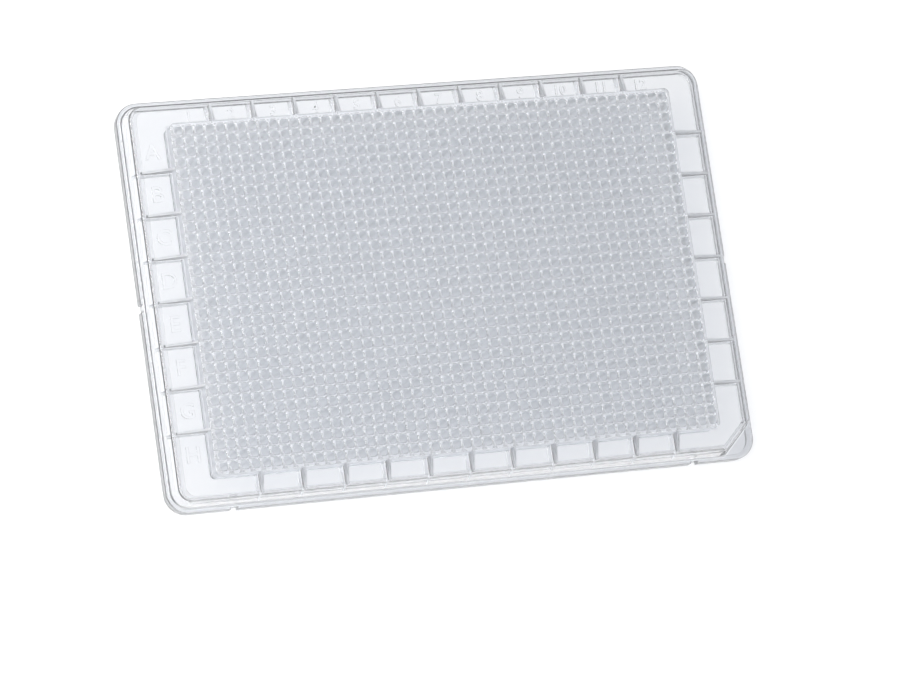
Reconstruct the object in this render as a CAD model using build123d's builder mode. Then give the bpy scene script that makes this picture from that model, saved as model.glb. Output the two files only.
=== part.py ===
"""Assay plate with 1536 wells, one clear moulding.

Millimetres. The origin is on the resting plane, at the middle of the footprint.
+X runs along the length from column 1 to column 12, +Y runs across towards row A,
and +Z is up, out of the wells.
"""

from build123d import *
import os
from math import atan, degrees, sqrt

# Footprint, and heights above the resting plane
plate_length = 127.76
plate_width = 85.48
well_top = 8.9
rim_top = 6.2
deck_sink = 0.3
deck_thickness = 1.1

# Base flange: an upright foot, closed above by a ledge that the skirt stands on
flange_height = 2.41
flange_wall = 1.2
flange_radius = 4.5
flange_edge_radius = 0.3
ledge_width = 0.95
ledge_thickness = 1.2

# Skirt: a wall that leans in from the ledge to the rim, with one corner cut
skirt_wall = 1.2
skirt_lean = 0.85
skirt_radius = 3.8
cut_corner = 6.3
cut_corner_radius = 1.5
cavity_cut_radius = 1.0
rim_width_end = 1.5
rim_width_side = 0.95
rim_edge_radius = 0.4
deck_radius = 2.2
deck_cut_radius = 0.6

# Wells: square, tapered and flat-bottomed, in groups that share a letter and a number
group_pitch = 9.0
group_columns = 12
group_rows = 8
wells_each_way = 4
well_mouth = 1.7
well_floor = 1.5
well_depth = 5.0
floor_thickness = 1.0

# Block that holds the wells, standing through the deck
block_margin = 0.5
block_radius = 1.1

# Ribs: one web on every line between two groups, from the block to the rim
rib_thickness = 0.5
rib_drop = 0.2
rib_rise_at_rim = 0.85
rib_foot_above_ledge = 0.9
rib_lap = 0.5

# Nicks in the outer face of the flange
nick_width = 1.6
nick_depth = 0.5
side_nick_spacing = 100.0

# Sizes that follow from the ones above
block_length = group_columns * group_pitch + 2 * block_margin
block_width = group_rows * group_pitch + 2 * block_margin
block_bottom = well_top - well_depth - floor_thickness
well_pitch = group_pitch / wells_each_way
well_draft = (well_mouth - well_floor) / 2
ledge_bottom = flange_height - ledge_thickness
deck_top = rim_top - deck_sink
deck_bottom = deck_top - deck_thickness
lean_per_mm = skirt_lean / (rim_top - flange_height)
lean_angle = degrees(atan(lean_per_mm))
cavity_inset = ledge_width + skirt_wall - lean_per_mm * ledge_thickness
rim_inset = ledge_width + skirt_lean
deck_length = plate_length - 2 * (rim_inset + rim_width_end)
deck_width = plate_width - 2 * (rim_inset + rim_width_side)


def inset_cut(leg, end_inset, side_inset, cut_inset):
    """Leg of the cut corner on an outline whose ends, sides and cut lie this far inside another's."""
    return leg - end_inset - side_inset + sqrt(2) * cut_inset


rim_cut = inset_cut(cut_corner, skirt_lean, skirt_lean, skirt_lean)
deck_cut = inset_cut(rim_cut, rim_width_end, rim_width_side, rim_width_side)
cavity_foot = cavity_inset - ledge_width
cavity_cut = inset_cut(cut_corner, cavity_foot, cavity_foot, cavity_foot)


def ends_of_cut():
    """The two corners of the open sketch that end the 45 degree cut."""
    at_end = vertices().group_by(Axis.X)[-1].sort_by(Axis.Y)[0]
    at_side = vertices().group_by(Axis.Y)[0].sort_by(Axis.X)[-1]
    return [at_end, at_side]


def cut_corner_outline(length, width, radius, cut, cut_radius):
    """Draw the skirt's outline in the open sketch: three round corners and one cut at 45 degrees."""
    Rectangle(length, width)
    last_well_corner = vertices().group_by(Axis.X)[-1].sort_by(Axis.Y)[0]
    chamfer(last_well_corner, cut)
    fillet([v for v in vertices() if v not in ends_of_cut()], radius)
    fillet(ends_of_cut(), cut_radius)


def rib_outline(block_half, rim_half, foot_half):
    """Draw one web in the open sketch: x outwards from the block, y up."""
    outer = rim_half + rib_lap
    Polygon(
        (block_half, block_bottom),
        (foot_half, ledge_bottom + rib_foot_above_ledge),
        (outer, rim_top + rib_rise_at_rim),
        (block_half, well_top - rib_drop),
        align=None,
    )


# One well, as the core pin that moulds it
with BuildPart() as well_core:
    with Locations((0, 0, well_top - well_depth / 2)):
        Wedge(
            well_mouth,
            well_depth,
            well_mouth,
            well_draft,
            well_draft,
            well_mouth - well_draft,
            well_mouth - well_draft,
            rotation=(-90, 0, 0),
        )

# The wells that share one letter and one number
with BuildPart() as well_group:
    with BuildSketch(Plane.XY.offset(block_bottom)):
        Rectangle(group_pitch, group_pitch)
    extrude(amount=well_top - block_bottom)
    with GridLocations(well_pitch, well_pitch, wells_each_way, wells_each_way):
        add(well_core.part, mode=Mode.SUBTRACT)

# A web at the middle of the +X end, and one at the middle of the +Y side
with BuildPart() as end_rib:
    with BuildSketch(Plane.XZ):
        rib_outline(block_length / 2, deck_length / 2, plate_length / 2 - cavity_inset)
    extrude(amount=rib_thickness / 2, both=True)

with BuildPart() as side_rib:
    with BuildSketch(Plane.YZ):
        rib_outline(block_width / 2, deck_width / 2, plate_width / 2 - cavity_inset)
    extrude(amount=rib_thickness / 2, both=True)

with BuildPart() as well_plate:
    # Flange
    with BuildSketch():
        RectangleRounded(plate_length, plate_width, flange_radius)
    extrude(amount=flange_height)
    fillet(edges().group_by(Axis.Z)[-1], flange_edge_radius)
    with BuildSketch():
        with GridLocations(plate_length, plate_width, 2, 1):
            Rectangle(2 * nick_depth, nick_width)
        with Locations((0, -plate_width / 2)):
            with GridLocations(side_nick_spacing, plate_width, 2, 1):
                Rectangle(nick_width, 2 * nick_depth)
    extrude(amount=flange_height, mode=Mode.SUBTRACT)

    # Skirt and rim
    with BuildSketch(Plane.XY.offset(flange_height)):
        cut_corner_outline(
            plate_length - 2 * ledge_width,
            plate_width - 2 * ledge_width,
            skirt_radius,
            cut_corner,
            cut_corner_radius,
        )
    extrude(amount=rim_top - flange_height, taper=lean_angle)
    fillet(faces().sort_by(Axis.Z)[-1].outer_wire().edges(), rim_edge_radius)

    # Deck, sunk inside the rim
    with BuildSketch(Plane.XY.offset(deck_top)):
        cut_corner_outline(deck_length, deck_width, deck_radius, deck_cut, deck_cut_radius)
    extrude(amount=rim_top - deck_top, mode=Mode.SUBTRACT)

    # Underside, open below inside the flange and the skirt
    with BuildSketch():
        RectangleRounded(
            plate_length - 2 * flange_wall, plate_width - 2 * flange_wall, flange_radius - flange_wall
        )
    extrude(amount=ledge_bottom, mode=Mode.SUBTRACT)
    with BuildSketch(Plane.XY.offset(ledge_bottom)):
        cut_corner_outline(
            plate_length - 2 * cavity_inset,
            plate_width - 2 * cavity_inset,
            skirt_radius - skirt_wall,
            cavity_cut,
            cavity_cut_radius,
        )
    extrude(amount=deck_bottom - ledge_bottom, taper=lean_angle, mode=Mode.SUBTRACT)

    # Ribs
    with GridLocations(group_pitch, group_pitch, 1, group_rows - 1):
        add(end_rib.part)
        add(end_rib.part.mirror(Plane.YZ))
    with GridLocations(group_pitch, group_pitch, group_columns - 1, 1):
        add(side_rib.part)
        add(side_rib.part.mirror(Plane.XZ))

    # Block of wells: its margin, then every group in its place
    with BuildSketch(Plane.XY.offset(block_bottom)):
        RectangleRounded(block_length, block_width, block_radius)
    extrude(amount=well_top - block_bottom)
    with BuildSketch(Plane.XY.offset(block_bottom)):
        Rectangle(group_columns * group_pitch, group_rows * group_pitch)
    extrude(amount=well_top - block_bottom, mode=Mode.SUBTRACT)
    with GridLocations(group_pitch, group_pitch, group_columns, group_rows):
        add(well_group.part)

well_plate.part.label = "well_plate"

os.makedirs("parts", exist_ok=True)
export_step(well_plate.part, "parts/well_plate.step", write_pcurves=False)
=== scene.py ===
import logging
import math
from dataclasses import dataclass, field
from enum import Enum

import bmesh
import bpy
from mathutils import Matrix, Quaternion, Vector


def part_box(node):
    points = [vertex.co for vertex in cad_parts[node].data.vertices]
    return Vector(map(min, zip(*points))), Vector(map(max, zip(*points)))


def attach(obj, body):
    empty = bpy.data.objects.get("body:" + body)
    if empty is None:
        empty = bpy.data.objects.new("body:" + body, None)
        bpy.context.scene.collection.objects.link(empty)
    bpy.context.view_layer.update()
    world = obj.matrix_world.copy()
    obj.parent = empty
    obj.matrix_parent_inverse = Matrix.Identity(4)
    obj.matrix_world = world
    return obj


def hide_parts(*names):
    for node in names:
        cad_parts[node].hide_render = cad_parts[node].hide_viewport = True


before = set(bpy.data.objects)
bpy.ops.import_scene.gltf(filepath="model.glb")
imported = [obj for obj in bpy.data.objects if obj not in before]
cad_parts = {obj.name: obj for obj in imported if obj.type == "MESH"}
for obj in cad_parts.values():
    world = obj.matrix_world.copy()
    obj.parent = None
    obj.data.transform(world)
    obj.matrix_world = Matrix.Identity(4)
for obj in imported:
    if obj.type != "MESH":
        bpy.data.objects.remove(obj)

log = logging.getLogger("assay_plate")

MM = 0.001
NODE = "well_plate"
BODY = "root"
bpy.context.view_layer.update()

# Share of a face's normal that points up or down: a face below UPRIGHT_SLOPE stands
# upright, one between the ROUNDED_SLOPES belongs to a rounded edge, and one above
# FLAT_SLOPE lies level.
UPRIGHT_SLOPE = 0.1
ROUNDED_SLOPES = (0.25, 0.88)
FLAT_SLOPE = 0.99

# How far the painted shade of a rounded edge and of a lip shows. It shows less where they
# face the front, which paints them lighter there as if lit from the front, so each end of
# these ramps is a share of a face's normal that points to the back, and what shows there.
EDGE_PAINTED_SHADE_RAMP = ((-0.7, 0.4), (-0.3, 1.0))
LIP_PAINTED_SHADE_RAMP = ((-0.4, 0.0), (0.5, 1.0))

# Corners closer than MERGE are one, and heights closer than LEVEL are the same.
MERGE = 0.001 * MM
LEVEL = 0.01 * MM


class Marking(Enum):
    """A line of raised characters on the deck."""

    ROW_LETTERS = "row_letters"
    COLUMN_NUMBERS = "column_numbers"


# ---------------------------------------------------------------- finishes


def calculate(
    tree: bpy.types.NodeTree, operation: str, *values: bpy.types.NodeSocket | float
) -> bpy.types.NodeSocket:
    """Add a Math node.

    Args:
        tree: The node tree.
        operation: The node's operation, such as LESS_THAN.
        values: A socket or a plain number for each of the node's inputs.

    Returns:
        The socket of the result.
    """
    node = tree.nodes.new("ShaderNodeMath")
    node.operation = operation
    for value, entry in zip(values, node.inputs):
        if isinstance(value, float):
            entry.default_value = value
        else:
            tree.links.new(value, entry)
    return node.outputs["Value"]


def product(tree: bpy.types.NodeTree, *masks: bpy.types.NodeSocket) -> bpy.types.NodeSocket:
    """Add nodes that multiply masks.

    Args:
        tree: The node tree.
        masks: The masks' sockets.

    Returns:
        The socket that gives 1 where every mask does.
    """
    found = masks[0]
    for mask in masks[1:]:
        found = calculate(tree, "MULTIPLY", found, mask)
    return found


def without(
    tree: bpy.types.NodeTree, mask: bpy.types.NodeSocket, taken: bpy.types.NodeSocket
) -> bpy.types.NodeSocket:
    """Add a node that takes one mask out of another.

    Args:
        tree: The node tree.
        mask: The mask's socket.
        taken: The socket of the mask that is taken out of it.

    Returns:
        The socket of what is left.
    """
    left = calculate(tree, "SUBTRACT", mask, taken)
    left.node.use_clamp = True
    return left


def ramp(
    tree: bpy.types.NodeTree,
    value: bpy.types.NodeSocket,
    start: tuple[float, float],
    end: tuple[float, float],
    kind: str = "LINEAR",
) -> bpy.types.NodeSocket:
    """Add a node that turns a value into another along a ramp.

    Args:
        tree: The node tree.
        value: The value's socket.
        start: Where the ramp starts, and what it gives there and before.
        end: Where the ramp ends, and what it gives there and beyond.
        kind: LINEAR or SMOOTHSTEP.

    Returns:
        The socket of the result.
    """
    node = tree.nodes.new("ShaderNodeMapRange")
    node.interpolation_type = kind
    tree.links.new(value, node.inputs["Value"])
    for side, (at, given) in (("Min", start), ("Max", end)):
        node.inputs[f"From {side}"].default_value = at
        node.inputs[f"To {side}"].default_value = given
    return node.outputs["Result"]


def any_ray(tree: bpy.types.NodeTree, kinds: tuple[str, ...]) -> bpy.types.NodeSocket:
    """Add nodes that tell rays of some kinds from the rest.

    Args:
        tree: The node tree.
        kinds: Outputs of the Light Path node, such as Is Camera Ray.

    Returns:
        The socket that gives 1 for a ray of any of the kinds, and 0 for the rest.
    """
    rays = tree.nodes.new("ShaderNodeLightPath")
    found = rays.outputs[kinds[0]]
    for kind in kinds[1:]:
        found = calculate(tree, "MAXIMUM", found, rays.outputs[kind])
    return found


def moulded_surface_group() -> bpy.types.NodeTree:
    """Build the node group for the surface of an injection moulded clear plastic.

    Its Height output is the faint waviness that the melt leaves, and its Haze output
    the patchy fine scuffing of handled plastic. The rest are masks, where the plastic
    gets painted shade, and some of them a roughness of their own:

    - Side: the faces that stand upright in the mould.
    - Edge: the rounded edges, less so where they face the front, which are painted lighter.
    - Land: the level faces of the ledge, of the rim and between the wells.
    - Lip: the rounded mouths of the wells, less so where they face the front, which are painted
      lighter.
    - Rib: the ribs above the rim.
    - Well: the walls and floors of the wells.

    Returns:
        The node group.
    """
    group = bpy.data.node_groups.new("moulded_surface", "ShaderNodeTree")
    for name in (
        "Wave Scale", "Scuff Scale", "Half Length", "Half Width", "Well Low", "Well High",
        "Land From", "Rib From", "Ledge Low", "Ledge High",
    ):
        group.interface.new_socket(name, in_out="INPUT", socket_type="NodeSocketFloat")
    for name in ("Height", "Haze", "Side", "Edge", "Land", "Lip", "Rib", "Well"):
        group.interface.new_socket(name, in_out="OUTPUT", socket_type="NodeSocketFloat")
    nodes, links = group.nodes, group.links
    entry = nodes.new("NodeGroupInput").outputs
    leave = nodes.new("NodeGroupOutput").inputs
    place = nodes.new("ShaderNodeTexCoord").outputs["Object"]

    for name, scale, detail, roughness in (
        ("Height", "Wave Scale", 1.0, 0.5),
        ("Haze", "Scuff Scale", 4.0, 0.65),
    ):
        noise = nodes.new("ShaderNodeTexNoise")
        noise.inputs["Detail"].default_value = detail
        noise.inputs["Roughness"].default_value = roughness
        links.new(place, noise.inputs["Vector"])
        links.new(entry[scale], noise.inputs["Scale"])
        links.new(noise.outputs["Fac"], leave[name])

    facing = nodes.new("ShaderNodeSeparateXYZ")
    geometry = nodes.new("ShaderNodeNewGeometry")
    links.new(geometry.outputs["True Normal"], facing.inputs["Vector"])
    slope = calculate(group, "ABSOLUTE", facing.outputs["Z"])
    side = calculate(group, "LESS_THAN", slope, UPRIGHT_SLOPE)
    rounded = product(
        group,
        calculate(group, "GREATER_THAN", slope, ROUNDED_SLOPES[0]),
        calculate(group, "LESS_THAN", slope, ROUNDED_SLOPES[1]),
        ramp(group, facing.outputs["Y"], *EDGE_PAINTED_SHADE_RAMP),
    )
    level = calculate(group, "GREATER_THAN", slope, FLAT_SLOPE)
    not_level = calculate(group, "LESS_THAN", slope, FLAT_SLOPE)
    shaded = ramp(group, facing.outputs["Y"], *LIP_PAINTED_SHADE_RAMP)

    split = nodes.new("ShaderNodeSeparateXYZ")
    links.new(place, split.inputs["Vector"])
    height = split.outputs["Z"]
    along = calculate(group, "ABSOLUTE", split.outputs["X"])
    across = calculate(group, "ABSOLUTE", split.outputs["Y"])
    field_of_wells = product(
        group,
        calculate(group, "LESS_THAN", along, entry["Half Length"]),
        calculate(group, "LESS_THAN", across, entry["Half Width"]),
    )
    well = product(
        group,
        field_of_wells,
        calculate(group, "GREATER_THAN", height, entry["Well Low"]),
        calculate(group, "LESS_THAN", height, entry["Well High"]),
    )
    ledge = product(
        group,
        calculate(group, "GREATER_THAN", height, entry["Ledge Low"]),
        calculate(group, "LESS_THAN", height, entry["Ledge High"]),
    )
    above_deck = calculate(group, "GREATER_THAN", height, entry["Land From"])
    above_rim = calculate(group, "GREATER_THAN", height, entry["Rib From"])
    above_wells = calculate(group, "GREATER_THAN", height, entry["Well High"])
    # Each of these masks lays painted shade on the plastic; Edge and Lip are painted lighter where
    # they face the front.
    for name, mask in (
        ("Side", without(group, side, well)),
        ("Edge", without(group, rounded, field_of_wells)),
        ("Land", product(group, level, calculate(group, "MAXIMUM", above_deck, ledge))),
        ("Lip", product(group, field_of_wells, above_wells, not_level, shaded)),
        ("Rib", without(group, above_rim, field_of_wells)),
        ("Well", well),
    ):
        links.new(mask, leave[name])
    return group


@dataclass(frozen=True)
class ClearPlastic:
    """Clear injection moulded polystyrene.

    Attributes:
        name: The material's name.
        tint: Colour of the polished faces, as it filters what passes.
        side_painted_shade: Painted shade on the faces that stand upright in the mould.
        side_grain: Roughness of the faces that stand upright in the mould.
        edge_painted_shade: Painted shade on the rounded edges, near black, lighter where they face
            the front.
        edge_grain: Roughness of the rounded edges.
        land_painted_shade: Painted shade on the ledge, the rim and the lands between the wells.
        land_from: Height from which a level face is the rim or a land, in metres.
        ledge_low: Height that the flange's ledge lies above, in metres.
        ledge_high: Height that the flange's ledge lies below, in metres.
        lip_painted_shade: Painted shade on the rounded mouths of the wells where they face the
            back, which leaves those facing the front bright as if lit.
        rib_painted_shade: Painted shade on the ribs above the rim.
        rib_grain: Roughness of the ribs above the rim.
        rib_from: Height from which the plastic round the wells is a rib, in metres.
        well_painted_shade: Painted shade on the walls and floors of the wells, from inside a well.
        well_grain: Roughness of the walls and floors of the wells, from inside a well.
        guided: Share of both that is missing where light meets a well from within the plastic.
        half_length: Half the length of the field of wells, in metres.
        half_width: Half the width of the field of wells, in metres.
        well_low: Height below which nothing is a well, in metres.
        well_high: Height at which the walls turn into the rounded mouths, in metres.
        lamp_tint: Share of a lamp's light that passes each surface.
        smooth: Lowest roughness of the polish, where the haze is thinner than hazy[0].
        scuffed: Highest roughness, where the haze is thicker than hazy[1].
        hazy: Span of the haze over which the polish turns dull.
        scuff_scale: How many patches of scuffing lie side by side in a metre.
        wave: Height of the surface's waviness, in metres.
        wave_scale: How many waves lie side by side in a metre.
        ior: Refractive index of polystyrene.
    """

    name: str
    tint: tuple[float, float, float] = (0.93, 0.937, 0.95)
    # Painted shade: grey laid on the faces that stand upright.
    side_painted_shade: tuple[float, float, float] = (0.8, 0.808, 0.825)
    side_grain: float = 0.12
    # Painted shade: near black laid on the rounded edges, lighter where they face the front.
    edge_painted_shade: tuple[float, float, float] = (0.05, 0.051, 0.054)
    edge_grain: float = 0.3
    # Painted shade: grey laid on the ledge, the rim and the lands between the wells.
    land_painted_shade: tuple[float, float, float] = (0.72, 0.73, 0.755)
    land_from: float = 6.17 * MM
    ledge_low: float = 2.2 * MM
    ledge_high: float = 2.6 * MM
    # Painted shade and painted highlight: dark grey on the wells' mouths where they face the back,
    # none where they face the front.
    lip_painted_shade: tuple[float, float, float] = (0.35, 0.36, 0.38)
    # Painted shade: grey laid on the ribs above the rim.
    rib_painted_shade: tuple[float, float, float] = (0.66, 0.67, 0.69)
    rib_grain: float = 0.4
    rib_from: float = 6.3 * MM
    # Painted shade: grey laid on the walls and floors of the wells.
    well_painted_shade: tuple[float, float, float] = (0.7, 0.716, 0.752)
    well_grain: float = 0.7
    guided: float = 0.94
    half_length: float = 54.6 * MM
    half_width: float = 36.6 * MM
    well_low: float = 3.5 * MM
    well_high: float = 8.72 * MM
    lamp_tint: tuple[float, float, float] = (0.94, 0.947, 0.96)
    smooth: float = 0.02
    scuffed: float = 0.09
    hazy: tuple[float, float] = (0.4, 0.75)
    scuff_scale: float = 1500.0
    wave: float = 0.006 * MM
    wave_scale: float = 90.0
    ior: float = 1.59

    def _masks(
        self, tree: bpy.types.NodeTree, surface: bpy.types.NodeTree
    ) -> dict[str, bpy.types.NodeSocket]:
        """Place the surface group, with this plastic's own values.

        Args:
            tree: The material's node tree.
            surface: The group from moulded_surface_group.

        Returns:
            The group's outputs by name, with Well as it is seen from inside a well.
        """
        moulded = tree.nodes.new("ShaderNodeGroup")
        moulded.node_tree = surface
        for name, value in (
            ("Wave Scale", self.wave_scale),
            ("Scuff Scale", self.scuff_scale),
            ("Half Length", self.half_length),
            ("Half Width", self.half_width),
            ("Well Low", self.well_low),
            ("Well High", self.well_high),
            ("Land From", self.land_from),
            ("Rib From", self.rib_from),
            ("Ledge Low", self.ledge_low),
            ("Ledge High", self.ledge_high),
        ):
            moulded.inputs[name].default_value = value
        masks = dict(moulded.outputs.items())
        geometry = tree.nodes.new("ShaderNodeNewGeometry")
        within = calculate(tree, "MULTIPLY", geometry.outputs["Backfacing"], self.guided)
        masks["Well"] = without(tree, masks["Well"], within)
        return masks

    def _colour(
        self, tree: bpy.types.NodeTree, masks: dict[str, bpy.types.NodeSocket]
    ) -> bpy.types.NodeSocket:
        """Lay each mask's painted shade over the polished faces' tint.

        Args:
            tree: The material's node tree.
            masks: The outputs of the surface group.

        Returns:
            The socket of the colour.
        """
        found = None
        # Every colour in this list is painted shade, laid over the polished faces by its mask.
        for name, colour in (
            ("Side", self.side_painted_shade),
            ("Edge", self.edge_painted_shade),
            ("Land", self.land_painted_shade),
            ("Lip", self.lip_painted_shade),
            ("Rib", self.rib_painted_shade),
            ("Well", self.well_painted_shade),
        ):
            mix = tree.nodes.new("ShaderNodeMix")
            mix.data_type = "RGBA"
            mix.inputs["A"].default_value = (*self.tint, 1.0)
            mix.inputs["B"].default_value = (*colour, 1.0)
            tree.links.new(masks[name], mix.inputs["Factor"])
            if found is not None:
                tree.links.new(found, mix.inputs["A"])
            found = mix.outputs["Result"]
        return found

    def _roughness(
        self, tree: bpy.types.NodeTree, masks: dict[str, bpy.types.NodeSocket]
    ) -> bpy.types.NodeSocket:
        """Lay each mask's grain over the scuffed polish.

        Args:
            tree: The material's node tree.
            masks: The outputs of the surface group.

        Returns:
            The socket of the roughness.
        """
        found = ramp(
            tree, masks["Haze"], start=(self.hazy[0], self.smooth), end=(self.hazy[1], self.scuffed)
        )
        for name, grain in (
            ("Side", self.side_grain),
            ("Edge", self.edge_grain),
            ("Rib", self.rib_grain),
            ("Well", self.well_grain),
        ):
            mix = tree.nodes.new("ShaderNodeMix")
            mix.inputs["B"].default_value = grain
            tree.links.new(found, mix.inputs["A"])
            tree.links.new(masks[name], mix.inputs["Factor"])
            found = mix.outputs["Result"]
        return found

    def build(self, surface: bpy.types.NodeTree) -> bpy.types.Material:
        """Build the material.

        Args:
            surface: The group from moulded_surface_group.

        Returns:
            The material.
        """
        made = bpy.data.materials.new(self.name)
        made.use_nodes = True
        tree = made.node_tree
        nodes, links = tree.nodes, tree.links
        nodes.clear()
        out = nodes.new("ShaderNodeOutputMaterial")
        plastic = nodes.new("ShaderNodeBsdfPrincipled")
        plastic.inputs["Transmission Weight"].default_value = 1.0
        plastic.inputs["IOR"].default_value = self.ior
        plastic.inputs["Metallic"].default_value = 0.0
        masks = self._masks(tree, surface)
        links.new(self._colour(tree, masks), plastic.inputs["Base Color"])
        links.new(self._roughness(tree, masks), plastic.inputs["Roughness"])

        bump = nodes.new("ShaderNodeBump")
        bump.inputs["Strength"].default_value = 1.0
        bump.inputs["Distance"].default_value = self.wave
        links.new(masks["Height"], bump.inputs["Height"])
        links.new(bump.outputs["Normal"], plastic.inputs["Normal"])

        # Lamp light and diffuse light pass straight through, which keeps bright patches away.
        clear = nodes.new("ShaderNodeBsdfTransparent")
        clear.inputs["Color"].default_value = (*self.lamp_tint, 1.0)
        mix = nodes.new("ShaderNodeMixShader")
        links.new(any_ray(tree, ("Is Shadow Ray", "Is Diffuse Ray")), mix.inputs["Fac"])
        links.new(plastic.outputs["BSDF"], mix.inputs[1])
        links.new(clear.outputs["BSDF"], mix.inputs[2])
        links.new(mix.outputs["Shader"], out.inputs["Surface"])
        return made


@dataclass(frozen=True)
class StudioFloor:
    """Pale floor that shows white to the lens and keeps the soft shadow.

    Attributes:
        name: The material's name.
        colour: The floor's own colour.
        lift: Light that it adds under the plate where the lens sees it, to bring it up to white.
        through: Light that it adds where it is seen in gloss or through clear plastic.
        near: Distance from the middle up to which the lift holds, in metres.
        far: Distance from the middle beyond which the floor is plain white, in metres.
    """

    name: str = "studio_floor"
    colour: tuple[float, float, float] = (0.9, 0.9, 0.9)
    lift: float = 0.2
    through: float = 0.1
    near: float = 0.09
    far: float = 0.3

    def build(self) -> bpy.types.Material:
        """Build the material.

        Returns:
            The material.
        """
        made = bpy.data.materials.new(self.name)
        made.use_nodes = True
        tree = made.node_tree
        nodes, links = tree.nodes, tree.links
        nodes.clear()
        out = nodes.new("ShaderNodeOutputMaterial")
        matt = nodes.new("ShaderNodeBsdfDiffuse")
        matt.inputs["Color"].default_value = (*self.colour, 1.0)
        glow = nodes.new("ShaderNodeEmission")
        glow.inputs["Color"].default_value = (1.0, 1.0, 1.0, 1.0)
        clear = any_ray(tree, ("Is Glossy Ray", "Is Transmission Ray"))
        seen_through = calculate(tree, "MULTIPLY", clear, self.through)
        place = nodes.new("ShaderNodeTexCoord")
        distance = nodes.new("ShaderNodeVectorMath")
        distance.operation = "LENGTH"
        links.new(place.outputs["Object"], distance.inputs[0])
        lift = ramp(
            tree,
            distance.outputs["Value"],
            start=(self.near, self.lift),
            end=(self.far, 1.0),
            kind="SMOOTHSTEP",
        )
        by_lens = any_ray(tree, ("Is Camera Ray",))
        level = calculate(tree, "MULTIPLY_ADD", by_lens, lift, seen_through)
        links.new(level, glow.inputs["Strength"])
        both = nodes.new("ShaderNodeAddShader")
        links.new(matt.outputs["BSDF"], both.inputs[0])
        links.new(glow.outputs["Emission"], both.inputs[1])
        links.new(both.outputs["Shader"], out.inputs["Surface"])
        return made


# ---------------------------------------------------------------- the moulding


def bevel(bm: bmesh.types.BMesh, edges: list[bmesh.types.BMEdge], width: float, steps: int) -> None:
    """Break or round edges.

    Args:
        bm: The mesh.
        edges: The edges.
        width: The bevel's offset on each side of an edge.
        steps: Faces across the bevel.
    """
    bmesh.ops.bevel(
        bm, geom=edges, offset=width, segments=steps, profile=0.5, affect="EDGES", material=-1
    )


def vertices_of(geometry: list) -> list[bmesh.types.BMVert]:
    """The vertices among what an operator gives back."""
    return [g for g in geometry if isinstance(g, bmesh.types.BMVert)]


@dataclass
class RaisedText:
    """The letters of the rows and the numbers of the columns, raised on the deck.

    Attributes:
        deck: Height of the deck.
        rise: How far a character stands above the deck.
        group_pitch: Distance between letters, and between numbers.
        letters: The rows' letters, from the far side on.
        letter_height: Height of a letter.
        letter_x: Middle of the letters.
        numbers: How many columns are numbered.
        number_height: Height of a number.
        number_y: Middle of the numbers.
        weight: How much wider than the plain font a stroke is on each side, at the font's size.
        curve_steps: Points along one curve of a character.
        merge: Corners closer than this are one, at the font's size.
    """

    deck: float = 5.9 * MM
    rise: float = 0.25 * MM
    group_pitch: float = 9.0 * MM
    letters: str = "ABCDEFGH"
    letter_height: float = 3.3 * MM
    letter_x: float = -58.1 * MM
    numbers: int = 12
    number_height: float = 2.2 * MM
    number_y: float = 38.35 * MM
    weight: float = 0.012
    curve_steps: int = 3
    merge: float = 0.0001

    def characters(self, marking: Marking) -> list[tuple[str, Vector, float]]:
        """List a line's characters.

        Args:
            marking: The line.

        Returns:
            The text, middle and height of each.
        """
        found = []
        if marking is Marking.ROW_LETTERS:
            first = (len(self.letters) - 1) / 2
            for i, letter in enumerate(self.letters):
                place = Vector((self.letter_x, (first - i) * self.group_pitch, self.deck))
                found.append((letter, place, self.letter_height))
        else:
            first = (self.numbers - 1) / 2
            for i in range(self.numbers):
                place = Vector(((i - first) * self.group_pitch, self.number_y, self.deck))
                found.append((str(i + 1), place, self.number_height))
        return found

    def _flat(self, text: str) -> bpy.types.Mesh:
        """Make a text a flat mesh.

        Args:
            text: The text.

        Returns:
            The mesh, still at the font's own size.
        """
        curve = bpy.data.curves.new("raised_text", "FONT")
        curve.body = text
        curve.offset = self.weight
        curve.resolution_u = self.curve_steps
        holder = bpy.data.objects.new("raised_text", curve)
        mesh = bpy.data.meshes.new_from_object(holder)
        bpy.data.objects.remove(holder)
        bpy.data.curves.remove(curve)
        return mesh

    def add_to(self, bm: bmesh.types.BMesh, marking: Marking) -> None:
        """Add a line's characters to a mesh, each open below at the deck.

        Args:
            bm: The mesh.
            marking: The line.
        """
        for text, place, height in self.characters(marking):
            mesh = self._flat(text)
            part = bmesh.new()
            part.from_mesh(mesh)
            bmesh.ops.remove_doubles(part, verts=part.verts, dist=self.merge)
            low = Vector(min(v.co[i] for v in part.verts) for i in range(3))
            high = Vector(max(v.co[i] for v in part.verts) for i in range(3))
            bmesh.ops.translate(part, verts=part.verts, vec=-(low + high) / 2)
            share = height / (high.y - low.y)
            bmesh.ops.scale(part, verts=part.verts, vec=(share, share, share))
            up = Vector((0.0, 0.0, self.rise))
            bmesh.ops.translate(part, verts=part.verts, vec=place + up)
            outline = [e for e in part.edges if e.is_boundary]
            wall = bmesh.ops.extrude_edge_only(part, edges=outline)["geom"]
            bmesh.ops.translate(part, verts=vertices_of(wall), vec=-up)
            part.to_mesh(mesh)
            part.free()
            bm.from_mesh(mesh)
            bpy.data.meshes.remove(mesh)

    def set_in(self, bm: bmesh.types.BMesh) -> None:
        """Open the plate's deck, stand the characters on it, and close it round them.

        Args:
            bm: The plate's mesh.
        """
        old = [
            f for f in bm.faces
            if f.normal.z > FLAT_SLOPE and abs(f.calc_center_median().z - self.deck) < LEVEL
        ]
        bmesh.ops.delete(bm, geom=old, context="FACES")
        for marking in Marking:
            self.add_to(bm, marking)
        open_edges = [
            e for e in bm.edges
            if e.is_boundary and all(abs(v.co.z - self.deck) < LEVEL for v in e.verts)
        ]
        bmesh.ops.triangle_fill(bm, edges=open_edges, use_beauty=True, normal=(0, 0, 1))


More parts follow.
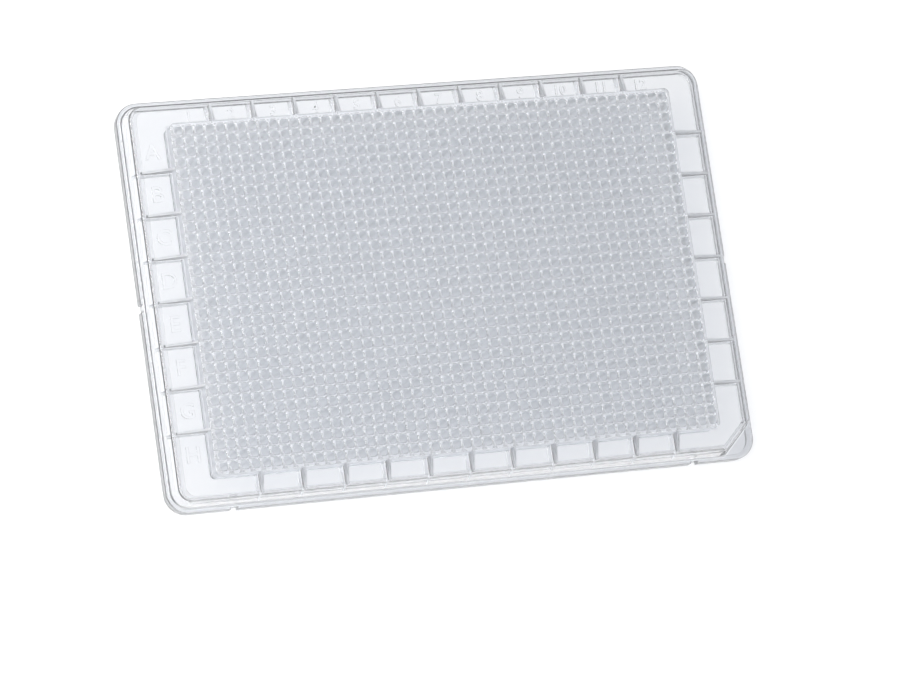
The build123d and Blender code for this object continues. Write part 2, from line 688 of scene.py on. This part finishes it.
@dataclass
class Moulding:
    """The plate itself, with wells that have rounded corners and rounded mouths.

    Attributes:
        pitch: Distance between wells.
        columns: Wells along the length.
        rows: Wells across the width.
        mouth: Width of a well below its rounded mouth.
        floor: Width of a well at its floor.
        depth: Depth of a well.
        below_floor: How far under the wells' floors the plain wells are cleared away.
        corner: Radius of a well's upright corners.
        corner_steps: Faces round one corner.
        lip: Radius of the rounded mouth.
        lip_reach: Depth under the top where the lips end, as a share of their radius.
        foot: Radius where a wall meets the floor.
        block_edge: Radius of the edge round the tops of the wells.
        block_steps: Faces across that edge.
        ledge: Height of the ledge that the skirt stands on.
        skirt_foot: Radius of the hollow where the skirt meets the ledge.
        skirt_steps: Faces across the hollow.
        end_rib_edge: Width of the broken edge along the top of a rib at the ends.
        side_rib_edge: Width of the broken edge along the top of a rib on the sides.
        crease: Angle above which an edge stays sharp, in degrees.
        lip_crease: The same on the rounded mouths of the wells.
        text: The raised characters.
        finish: The plastic.
    """

    pitch: float = 2.25 * MM
    columns: int = 48
    rows: int = 32
    mouth: float = 1.7 * MM
    floor: float = 1.5 * MM
    depth: float = 5.0 * MM
    below_floor: float = 0.5 * MM
    corner: float = 0.45 * MM
    corner_steps: int = 2
    lip: float = 0.19 * MM
    lip_reach: float = 1.5
    foot: float = 0.15 * MM
    block_edge: float = 0.12 * MM
    block_steps: int = 2
    ledge: float = 2.41 * MM
    skirt_foot: float = 0.42 * MM
    skirt_steps: int = 3
    end_rib_edge: float = 0.04 * MM
    side_rib_edge: float = 0.11 * MM
    crease: float = 32.0
    lip_crease: float = 50.0
    text: RaisedText = field(default_factory=RaisedText)
    finish: ClearPlastic = field(default_factory=lambda: ClearPlastic("clear_polystyrene"))

    def top(self) -> float:
        """Height of the tops of the wells."""
        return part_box(NODE)[1].z

    def _in_field(self, place: Vector) -> bool:
        """Tell the places inside the field of wells, at any height, from the rest.

        Args:
            place: The place.

        Returns:
            True for such a place.
        """
        half_length = self.columns * self.pitch / 2
        half_width = self.rows * self.pitch / 2
        return abs(place.x) < half_length and abs(place.y) < half_width

    def _ring(
        self, bm: bmesh.types.BMesh, face: bmesh.types.BMFace, size: float, old: float, drop: float
    ) -> bmesh.types.BMFace:
        """Extrude a well's face down to the next ring of its wall.

        Args:
            bm: The mesh.
            face: The face that closes the well so far.
            size: Width of the well at the new ring.
            old: Width of the well at the face.
            drop: How far the new ring lies below the face.

        Returns:
            The face that closes the well at the new ring.
        """
        made = bmesh.ops.extrude_discrete_faces(bm, faces=[face])["faces"][0]
        share = size / old
        bmesh.ops.scale(bm, verts=made.verts, vec=(share, share, 1.0))
        bmesh.ops.translate(bm, verts=made.verts, vec=(0.0, 0.0, -drop))
        return made

    def _cell(self) -> bmesh.types.BMesh:
        """Make one well with the land round it.

        Returns:
            The mesh, at the origin and open above.
        """
        bm = bmesh.new()
        wide = self.mouth + 2 * self.lip
        bmesh.ops.create_grid(bm, x_segments=1, y_segments=1, size=wide / 2)
        bmesh.ops.bevel(
            bm,
            geom=bm.verts[:],
            offset=self.corner + self.lip,
            segments=self.corner_steps,
            profile=0.5,
            affect="VERTICES",
            material=-1,
        )
        face = bm.faces[:][0]
        outline = face.edges[:]
        # The mouth's quarter round has one ring in the middle of its arc.
        half_lip = self.lip * (1 - math.cos(math.pi / 4))
        middle = self.mouth + 2 * half_lip
        for size, old, drop in (
            (middle, wide, half_lip),
            (self.mouth, middle, self.lip - half_lip),
            (self.floor, self.mouth, self.depth - self.lip - self.foot),
            (self.floor - self.foot, self.floor, self.foot),
        ):
            face = self._ring(bm, face, size, old, drop)
        border = bmesh.ops.create_grid(bm, x_segments=1, y_segments=1, size=self.pitch / 2)["verts"]
        square = border[0].link_faces[0]
        around = square.edges[:]
        bmesh.ops.delete(bm, geom=[square], context="FACES_ONLY")
        bmesh.ops.triangle_fill(bm, edges=outline + around, use_beauty=True, normal=(0, 0, 1))
        return bm

    def _grid(self, bm: bmesh.types.BMesh) -> None:
        """Fill the mesh with all the wells, from the one well that it holds.

        Args:
            bm: The mesh with one well at the origin.
        """
        first_well = Vector((
            -(self.columns - 1) / 2 * self.pitch, -(self.rows - 1) / 2 * self.pitch, self.top()
        ))
        bmesh.ops.translate(bm, verts=bm.verts, vec=first_well)
        for count, step in (
            (self.columns, Vector((self.pitch, 0, 0))),
            (self.rows, Vector((0, self.pitch, 0))),
        ):
            first = bm.verts[:] + bm.edges[:] + bm.faces[:]
            for i in range(1, count):
                copy = bmesh.ops.duplicate(bm, geom=first)["geom"]
                bmesh.ops.translate(bm, verts=vertices_of(copy), vec=step * i)
            border = [v for v in bm.verts if v.is_boundary]
            bmesh.ops.remove_doubles(bm, verts=border, dist=LEVEL)

    def _at_skirt_foot(self, edge: bmesh.types.BMEdge) -> bool:
        """Tell the edges where the skirt stands on the ledge from the rest.

        Args:
            edge: The edge.

        Returns:
            True for such an edge.
        """
        level = all(abs(v.co.z - self.ledge) < LEVEL for v in edge.verts)
        if not level or len(edge.link_faces) != 2:
            return False
        low, high = sorted(abs(f.normal.z) for f in edge.link_faces)
        return high > FLAT_SLOPE and UPRIGHT_SLOPE < low < ROUNDED_SLOPES[0]

    def _on_rib(self, edge: bmesh.types.BMEdge, axis: int) -> bool:
        """Tell the edges along the sloping tops of ribs from the rest.

        Args:
            edge: The edge.
            axis: The axis that the ribs run along, 0 for x and 1 for y.

        Returns:
            True for such an edge.
        """
        if len(edge.link_faces) != 2 or min(v.co.z for v in edge.verts) < self.ledge:
            return False
        run = edge.verts[1].co - edge.verts[0].co
        if abs(run[axis]) < abs(run[1 - axis]):
            return False
        low, high = sorted(f.normal.z for f in edge.link_faces)
        return abs(low) < UPRIGHT_SLOPE and ROUNDED_SLOPES[1] < high < FLAT_SLOPE

    def _shell(self) -> bmesh.types.BMesh:
        """Take the plate as it is built, clear its plain wells away, and finish its edges.

        Returns:
            The mesh, open where the wells go.
        """
        bm = bmesh.new()
        bm.from_mesh(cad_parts[NODE].data)
        bmesh.ops.remove_doubles(bm, verts=bm.verts, dist=MERGE)
        roof = self.top() - LEVEL
        low = self.top() - self.depth - self.below_floor
        old = []
        for f in bm.faces:
            middle = f.calc_center_median()
            if middle.z > roof or (middle.z > low and self._in_field(middle)):
                old.append(f)
        bmesh.ops.delete(bm, geom=old, context="FACES")
        hollow = [e for e in bm.edges if self._at_skirt_foot(e)]
        bevel(bm, hollow, self.skirt_foot, self.skirt_steps)
        for axis, width in enumerate((self.end_rib_edge, self.side_rib_edge)):
            ribs = [e for e in bm.edges if self._on_rib(e, axis)]
            bevel(bm, ribs, width, 1)
            log.info("%d edges on the ribs along %s", len(ribs), "xy"[axis])
        self.text.set_in(bm)
        return bm

    def _soften(self, bm: bmesh.types.BMesh) -> None:
        """Shade the mesh smooth, but for its sharp edges.

        Args:
            bm: The mesh.
        """
        for f in bm.faces:
            f.smooth = True
        lip_foot = self.top() - self.lip_reach * self.lip
        for e in bm.edges:
            middle = (e.verts[0].co + e.verts[1].co) / 2
            on_lip = middle.z > lip_foot and self._in_field(middle)
            limit = math.radians(self.lip_crease if on_lip else self.crease)
            e.smooth = e.is_manifold and e.calc_face_angle(0.0) < limit

    def _mesh(self) -> bpy.types.Mesh:
        """Join the shell and the wells to one closed mesh.

        Returns:
            The mesh.
        """
        bm = self._shell()
        rim = [e for e in bm.edges if e.is_boundary]
        log.info("block's rim: %d edges", len(rim))
        cells = self._cell()
        self._grid(cells)
        mesh = bpy.data.meshes.new("plate")
        cells.to_mesh(mesh)
        cells.free()
        bm.from_mesh(mesh)
        open_edges = [e for e in bm.edges if e.is_boundary]
        bmesh.ops.triangle_fill(bm, edges=open_edges, use_beauty=True, normal=(0, 0, 1))
        bevel(bm, [e for e in rim if e.is_valid], self.block_edge, self.block_steps)
        bmesh.ops.recalc_face_normals(bm, faces=bm.faces)
        self._soften(bm)
        log.info("open edges: %d", sum(1 for e in bm.edges if not e.is_manifold))
        mesh.clear_geometry()
        bm.to_mesh(mesh)
        bm.free()
        return mesh

    def build(self, surface: bpy.types.NodeTree) -> bpy.types.Object:
        """Build the plate as one closed piece.

        Args:
            surface: The group from moulded_surface_group.

        Returns:
            The piece.
        """
        mesh = self._mesh()
        piece = bpy.data.objects.new("plate_moulding", mesh)
        bpy.context.collection.objects.link(piece)
        mesh.materials.clear()
        mesh.materials.append(self.finish.build(surface))
        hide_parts(NODE)
        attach(piece, BODY)
        return piece


# ---------------------------------------------------------------- studio


@dataclass(frozen=True)
class Lamp:
    """A soft lamp that faces the plate.

    Attributes:
        name: The lamp's name.
        place: Its place.
        width: Its width and height.
        watts: Its power.
    """

    name: str
    place: tuple[float, float, float]
    width: float
    watts: float

    def build(self) -> None:
        """Hang the lamp."""
        data = bpy.data.lights.new(self.name, "AREA")
        data.shape = "RECTANGLE"
        data.size = self.width
        data.size_y = self.width
        data.energy = self.watts
        lamp = bpy.data.objects.new(self.name, data)
        bpy.context.collection.objects.link(lamp)
        lamp.location = self.place
        lamp.rotation_mode = "QUATERNION"
        lamp.rotation_quaternion = (-Vector(self.place)).to_track_quat("-Z", "Y")


@dataclass
class Studio:
    """Floor, soft light and camera.

    Attributes:
        floor_half: Half of the floor's width.
        camera_at: The lens's place.
        camera_turn: The camera's turn, as a quaternion.
        lens: Focal length, in millimetres.
        sensor: Width of the camera's sensor, in millimetres.
        seen_from: Nearest distance that the camera sees.
        seen_to: Farthest distance that the camera sees.
        sky: Light from straight above.
        horizon: Light from level and from below.
        dark_below: Height on the unit sky under which only the horizon's light shines.
        bright_above: Height on the unit sky over which the full light shines.
        white_rays: The kinds of rays that see the studio as white.
        floor: The floor's material.
        lamps: The lamps.
    """

    floor_half: float = 1.5
    camera_at: tuple[float, float, float] = (-0.2898980, -0.1702808, 0.8719673)
    camera_turn: tuple[float, float, float, float] = (
        0.98182397, 0.09585987, -0.15337343, -0.05752536
    )
    lens: float = 180.0
    sensor: float = 36.0
    seen_from: float = 0.05
    seen_to: float = 20.0
    sky: float = 0.3
    horizon: float = 0.04
    dark_below: float = 0.1
    bright_above: float = 0.8
    white_rays: tuple[str, ...] = ("Is Camera Ray", "Is Glossy Ray", "Is Transmission Ray")
    floor: StudioFloor = field(default_factory=StudioFloor)
    lamps: tuple[Lamp, ...] = (
        Lamp("key_lamp", (-0.45, 0.14, 0.58), width=0.5, watts=5.6),
        Lamp("fill_lamp", (1.5, -1.15, 1.82), width=1.65, watts=15.2),
    )

    def build_floor(self) -> None:
        """Lay the floor under the plate."""
        bm = bmesh.new()
        bmesh.ops.create_grid(bm, x_segments=1, y_segments=1, size=self.floor_half)
        mesh = bpy.data.meshes.new("studio_floor")
        bm.to_mesh(mesh)
        bm.free()
        floor = bpy.data.objects.new("studio_floor", mesh)
        bpy.context.collection.objects.link(floor)
        mesh.materials.append(self.floor.build())

    def build_sky(self) -> None:
        """Light the scene softly from all round, and show white behind it."""
        world = bpy.data.worlds.new("studio")
        bpy.context.scene.world = world
        world.use_nodes = True
        tree = world.node_tree
        nodes, links = tree.nodes, tree.links
        nodes.clear()
        out = nodes.new("ShaderNodeOutputWorld")
        place = nodes.new("ShaderNodeTexCoord")
        split = nodes.new("ShaderNodeSeparateXYZ")
        links.new(place.outputs["Generated"], split.inputs["Vector"])
        strength = ramp(
            tree,
            split.outputs["Z"],
            start=(self.dark_below, self.horizon),
            end=(self.bright_above, self.sky),
            kind="SMOOTHSTEP",
        )
        light = nodes.new("ShaderNodeBackground")
        light.inputs["Color"].default_value = (1.0, 1.0, 1.0, 1.0)
        links.new(strength, light.inputs["Strength"])
        white = nodes.new("ShaderNodeBackground")
        white.inputs["Color"].default_value = (1.0, 1.0, 1.0, 1.0)
        white.inputs["Strength"].default_value = 1.0
        mix = nodes.new("ShaderNodeMixShader")
        links.new(any_ray(tree, self.white_rays), mix.inputs["Fac"])
        links.new(light.outputs["Background"], mix.inputs[1])
        links.new(white.outputs["Background"], mix.inputs[2])
        links.new(mix.outputs["Shader"], out.inputs["Surface"])

    def build_camera(self) -> None:
        """Set the camera that looks down on the plate."""
        data = bpy.data.cameras.new("camera")
        data.lens = self.lens
        data.sensor_width = self.sensor
        data.clip_start = self.seen_from
        data.clip_end = self.seen_to
        camera = bpy.data.objects.new("camera", data)
        bpy.context.collection.objects.link(camera)
        camera.location = self.camera_at
        camera.rotation_mode = "QUATERNION"
        camera.rotation_quaternion = Quaternion(self.camera_turn)
        bpy.context.scene.camera = camera

    def build(self) -> None:
        """Build the whole studio."""
        self.build_floor()
        self.build_sky()
        for lamp in self.lamps:
            lamp.build()
        self.build_camera()
        bpy.context.scene.view_settings.view_transform = "Standard"


def main() -> None:
    """Build every piece in order."""
    logging.basicConfig(level=logging.INFO, format="%(name)s: %(message)s")
    plate = Moulding().build(moulded_surface_group())
    triangles = sum(len(face.vertices) - 2 for face in plate.data.polygons)
    log.info("%s: %d triangles", plate.name, triangles)
    Studio().build()
    log.info("studio: built")


if __name__ == "__main__":
    main()
